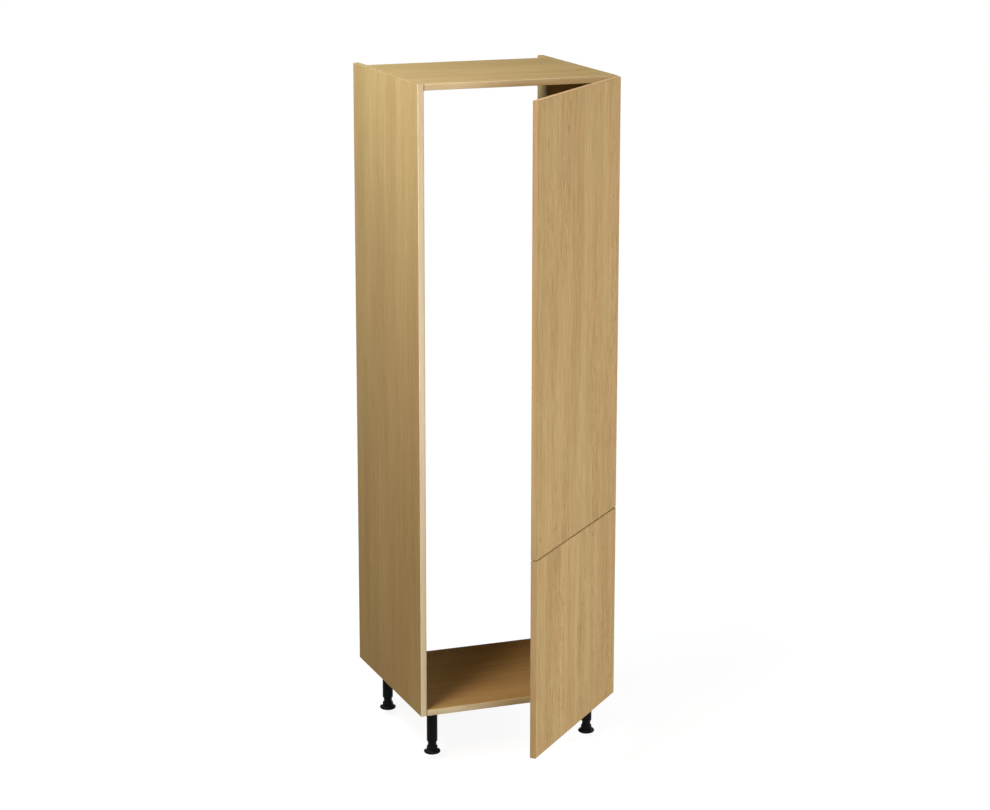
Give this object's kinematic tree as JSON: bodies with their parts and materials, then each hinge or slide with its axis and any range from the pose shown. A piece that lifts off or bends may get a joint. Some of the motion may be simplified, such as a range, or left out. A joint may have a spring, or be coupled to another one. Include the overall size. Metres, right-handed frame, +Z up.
{
  "type": "fridge housing unit",
  "caption": "Tall open-backed oak cabinet carcase for a built-in fridge, with doors on concealed hinges and adjustable screw legs.",
  "frame": {"origin": "on the floor, under the middle of the whole unit's box with both doors standing part open", "axes": "+Z up, -Y out of the front, +X to the side that carries the hinges (the right-hand side, seen from the front)"},
  "size_m": [0.6001, 1.0083, 1.97],
  "materials": {
    "oak_board": "oak-grain faced board, satin, grain upright on the sides and across on the top and bottom",
    "oak_door": "oak-grain door face, satin, upright grain",
    "black_plastic": "moulded black plastic with a faint sheen",
    "nickel_steel": "nickel-plated pressed steel",
    "zinc_casting": "grey zinc casting"
  },
  "bodies": {
    "carcase": {"side_panel_left": "oak_board", "side_panel_right": "oak_board", "top_panel": "oak_board", "bottom_panel": "oak_board", "cam_top_front_left": "zinc_casting", "cam_top_front_right": "zinc_casting", "cam_top_rear_left": "zinc_casting", "cam_top_rear_right": "zinc_casting", "cam_bottom_front_left": "zinc_casting", "cam_bottom_front_right": "zinc_casting", "cam_bottom_rear_left": "zinc_casting", "cam_bottom_rear_right": "zinc_casting", "cam_bolt_top_front_left": "nickel_steel", "cam_bolt_top_front_right": "nickel_steel", "cam_bolt_top_rear_left": "nickel_steel", "cam_bolt_top_rear_right": "nickel_steel", "cam_bolt_bottom_front_left": "nickel_steel", "cam_bolt_bottom_front_right": "nickel_steel", "cam_bolt_bottom_rear_left": "nickel_steel", "cam_bolt_bottom_rear_right": "nickel_steel", "leg_insert_front_left": "black_plastic", "leg_insert_front_right": "black_plastic", "leg_insert_rear_left": "black_plastic", "leg_insert_rear_right": "black_plastic", "leg_sleeve_front_left": "black_plastic", "leg_sleeve_front_right": "black_plastic", "leg_sleeve_rear_left": "black_plastic", "leg_sleeve_rear_right": "black_plastic", "hinge_plate_upper_1": "nickel_steel", "hinge_plate_upper_2": "nickel_steel", "hinge_plate_upper_3": "nickel_steel", "hinge_plate_lower_1": "nickel_steel", "hinge_plate_lower_2": "nickel_steel", "hinge_arm_upper_1": "nickel_steel", "hinge_arm_upper_2": "nickel_steel", "hinge_arm_upper_3": "nickel_steel", "hinge_arm_lower_1": "nickel_steel", "hinge_arm_lower_2": "nickel_steel"},
    "upper_inner_links": {"hinge_inner_link_upper_1": "nickel_steel", "hinge_inner_link_upper_2": "nickel_steel", "hinge_inner_link_upper_3": "nickel_steel"},
    "upper_door_leaf": {"upper_door": "oak_door", "hinge_cup_upper_1": "nickel_steel", "hinge_cup_upper_2": "nickel_steel", "hinge_cup_upper_3": "nickel_steel"},
    "upper_outer_links": {"hinge_outer_link_upper_1": "nickel_steel", "hinge_outer_link_upper_2": "nickel_steel", "hinge_outer_link_upper_3": "nickel_steel"},
    "lower_inner_links": {"hinge_inner_link_lower_1": "nickel_steel", "hinge_inner_link_lower_2": "nickel_steel"},
    "lower_door_leaf": {"lower_door": "oak_door", "hinge_cup_lower_1": "nickel_steel", "hinge_cup_lower_2": "nickel_steel"},
    "lower_outer_links": {"hinge_outer_link_lower_1": "nickel_steel", "hinge_outer_link_lower_2": "nickel_steel"},
    "foot_front_left": {"leg_foot_front_left": "black_plastic"},
    "foot_front_right": {"leg_foot_front_right": "black_plastic"},
    "foot_rear_left": {"leg_foot_rear_left": "black_plastic"},
    "foot_rear_right": {"leg_foot_rear_right": "black_plastic"}
  },
  "joints": [
    {"name": "upper_inner_link_swing", "type": "hinge", "parent": "carcase", "child": "upper_inner_links", "pos_m": [0.2603, -0.04486, 1.342], "axis": [0, 0, 1], "range_deg": [-13.7, 11.4]},
    {"name": "upper_door_turn", "type": "hinge", "parent": "upper_inner_links", "child": "upper_door_leaf", "pos_m": [0.2835, -0.07562, 1.342], "axis": [0, 0, 1], "range_deg": [-56.75, 68.25]},
    {"name": "upper_outer_link_swing", "type": "hinge", "parent": "upper_door_leaf", "child": "upper_outer_links", "pos_m": [0.28247, -0.08009, 1.342], "axis": [0, 0, 1], "range_deg": [-66.7, 55.4]},
    {"name": "lower_inner_link_swing", "type": "hinge", "parent": "carcase", "child": "lower_inner_links", "pos_m": [0.2603, -0.04486, 0.427], "axis": [0, 0, 1], "range_deg": [-13.7, 11.4]},
    {"name": "lower_door_turn", "type": "hinge", "parent": "lower_inner_links", "child": "lower_door_leaf", "pos_m": [0.2835, -0.07562, 0.427], "axis": [0, 0, 1], "range_deg": [-56.75, 68.25]},
    {"name": "lower_outer_link_swing", "type": "hinge", "parent": "lower_door_leaf", "child": "lower_outer_links", "pos_m": [0.28247, -0.08009, 0.427], "axis": [0, 0, 1], "range_deg": [-66.7, 55.4]},
    {"name": "foot_front_left_screw", "type": "slide", "parent": "carcase", "child": "foot_front_left", "axis": [0, 0, 1], "range_m": [-0.02, 0.014]},
    {"name": "foot_front_right_screw", "type": "slide", "parent": "carcase", "child": "foot_front_right", "axis": [0, 0, 1], "range_m": [-0.02, 0.014]},
    {"name": "foot_rear_left_screw", "type": "slide", "parent": "carcase", "child": "foot_rear_left", "axis": [0, 0, 1], "range_m": [-0.02, 0.014]},
    {"name": "foot_rear_right_screw", "type": "slide", "parent": "carcase", "child": "foot_rear_right", "axis": [0, 0, 1], "range_m": [-0.02, 0.014]}
  ],
  "couplings": [
    {"joint": "upper_inner_link_swing", "follows": "upper_door_turn", "ratio": -0.2},
    {"joint": "upper_outer_link_swing", "follows": "upper_door_turn", "ratio": -0.976},
    {"joint": "lower_inner_link_swing", "follows": "lower_door_turn", "ratio": -0.2},
    {"joint": "lower_outer_link_swing", "follows": "lower_door_turn", "ratio": -0.976}
  ]
}
